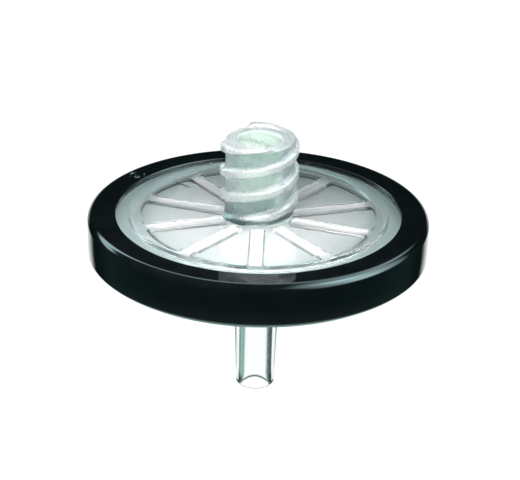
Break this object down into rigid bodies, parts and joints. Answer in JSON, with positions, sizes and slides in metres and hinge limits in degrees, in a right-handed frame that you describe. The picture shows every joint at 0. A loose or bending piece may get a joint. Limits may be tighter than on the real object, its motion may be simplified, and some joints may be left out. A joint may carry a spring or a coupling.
{
  "type": "syringe filter",
  "caption": "Disc syringe filter: clear ribbed plate with a threaded luer-lock inlet, a white membrane, a luer-slip outlet tip and a black overmoulded rim ring.",
  "frame": {"origin": "centre of the inlet's open mouth, on the filter's axis", "axes": "+Z out of the inlet's mouth along the filter's axis, so the outlet tip points along -Z; +X to the right and +Y away as seen from the front"},
  "size_m": [0.034, 0.034, 0.0272],
  "materials": {
    "clear_plastic": "clear moulded plastic with a faint green-grey tint, polished on the plate, slightly frosted on the threaded inlet",
    "membrane_film": "matt white microporous film",
    "black_plastic": "polished black moulded plastic"
  },
  "bodies": {
    "root": {"upper_housing": "clear_plastic", "lower_housing": "clear_plastic", "membrane": "membrane_film", "rim_ring": "black_plastic"}
  },
  "joints": []
}
